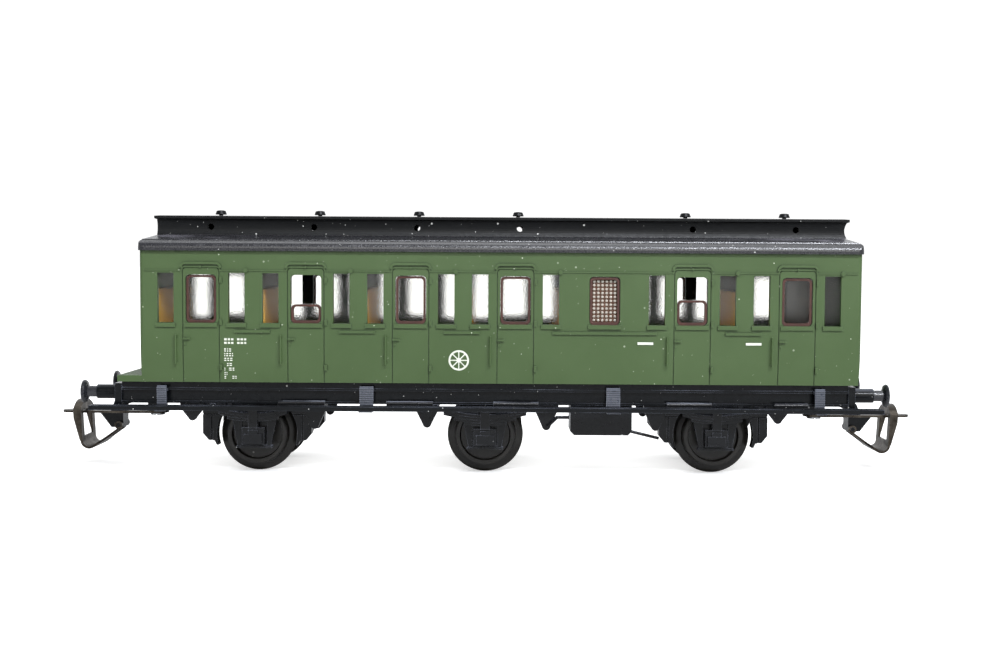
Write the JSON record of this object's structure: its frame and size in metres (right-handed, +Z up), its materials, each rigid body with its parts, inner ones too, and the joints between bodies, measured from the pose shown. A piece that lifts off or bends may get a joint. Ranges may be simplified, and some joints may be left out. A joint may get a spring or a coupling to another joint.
{
  "type": "model railway passenger coach",
  "caption": "Model railway compartment coach on three axles, with a clerestory roof, running boards, buffers and a swinging hook-and-loop coupling at each end.",
  "frame": {"origin": "on the plane of the wheel flanges' lowest points, under the middle axle, at the centre of the length over the couplings", "axes": "+X along the coach away from the open platform end, +Z up, +Y across the coach to the far side"},
  "size_m": [0.1156, 0.0256, 0.0345],
  "materials": {
    "body_green": "satin moulded plastic",
    "roof_grey": "satin",
    "roof_black": "matte",
    "window_clear": "clear moulded plastic",
    "window_patterned": "patterned moulded plastic",
    "frame_brown": "satin",
    "insert_brown": "matte",
    "bench_tan": "matte",
    "weight_steel": "plain",
    "screw_steel": "plain",
    "underframe_black": "satin moulded plastic",
    "gear_black": "satin moulded plastic",
    "bracket_grey": "satin",
    "buffer_dark": "satin",
    "plate_white": "printed",
    "coupling_steel": "browned sheet steel",
    "axle_steel": "plain",
    "wheel_black": "dark, slightly brown"
  },
  "bodies": {
    "coach": {"body_shell": "body_green", "end_platform": "body_green", "grab_rails": "body_green", "door_handles": "body_green", "roof": "roof_grey", "clerestory": "roof_black", "roof_vents": "roof_black", "glazing_near": "window_clear", "glazing_far": "window_clear", "toilet_panes": "window_patterned", "window_frames_near": "frame_brown", "window_frames_far": "frame_brown", "interior_insert": "insert_brown", "seat_benches": "bench_tan", "ballast_weight": "weight_steel", "body_screws": "screw_steel", "coupling_pins": "screw_steel", "floor_plate": "underframe_black", "solebar_near": "underframe_black", "solebar_far": "underframe_black", "headstock_1": "underframe_black", "headstock_2": "underframe_black", "buffer_sleeves": "underframe_black", "running_board_near": "underframe_black", "running_board_far": "underframe_black", "coupling_pockets": "underframe_black", "axle_guards_1": "gear_black", "axle_guards_2": "gear_black", "axle_guards_3": "gear_black", "leaf_springs_1": "gear_black", "leaf_springs_2": "gear_black", "leaf_springs_3": "gear_black", "brake_blocks": "gear_black", "brake_hangers": "gear_black", "brake_rods": "gear_black", "battery_box": "gear_black", "gas_cylinders": "gear_black", "board_brackets": "bracket_grey", "buffer_head_1_near": "buffer_dark", "buffer_head_1_far": "buffer_dark", "buffer_head_2_near": "buffer_dark", "buffer_head_2_far": "buffer_dark", "class_plates": "plate_white"},
    "wheelset_1": {"axle_1": "axle_steel", "wheel_1_near": "wheel_black", "wheel_1_far": "wheel_black"},
    "wheelset_2": {"axle_2": "axle_steel", "wheel_2_near": "wheel_black", "wheel_2_far": "wheel_black"},
    "wheelset_3": {"axle_3": "axle_steel", "wheel_3_near": "wheel_black", "wheel_3_far": "wheel_black"},
    "coupling_1": {"hook_plate_1": "coupling_steel", "coupling_head_1": "underframe_black"},
    "coupling_2": {"hook_plate_2": "coupling_steel", "coupling_head_2": "underframe_black"},
    "bow_1": {"coupling_bow_1": "coupling_steel"},
    "bow_2": {"coupling_bow_2": "coupling_steel"}
  },
  "joints": [
    {"name": "wheelset_1_spin", "type": "hinge", "parent": "coach", "child": "wheelset_1", "pos_m": [-0.03, 0, 0.005], "axis": [0, 1, 0], "continuous": true},
    {"name": "wheelset_2_spin", "type": "hinge", "parent": "coach", "child": "wheelset_2", "pos_m": [0, 0, 0.005], "axis": [0, 1, 0], "continuous": true},
    {"name": "wheelset_3_spin", "type": "hinge", "parent": "coach", "child": "wheelset_3", "pos_m": [0.03, 0, 0.005], "axis": [0, 1, 0], "continuous": true},
    {"name": "coupling_1_swing", "type": "hinge", "parent": "coach", "child": "coupling_1", "pos_m": [-0.0449, 0, 0.0071], "axis": [0, 0, 1], "range_deg": [-12, 12]},
    {"name": "bow_1_lift", "type": "hinge", "parent": "coupling_1", "child": "bow_1", "pos_m": [-0.0498, 0, 0.00535], "axis": [0, 1, 0], "range_deg": [0, 20]},
    {"name": "coupling_2_swing", "type": "hinge", "parent": "coach", "child": "coupling_2", "pos_m": [0.0449, 0, 0.0071], "axis": [0, 0, 1], "range_deg": [-12, 12]},
    {"name": "bow_2_lift", "type": "hinge", "parent": "coupling_2", "child": "bow_2", "pos_m": [0.0498, 0, 0.00535], "axis": [0, -1, 0], "range_deg": [0, 20]}
  ]
}
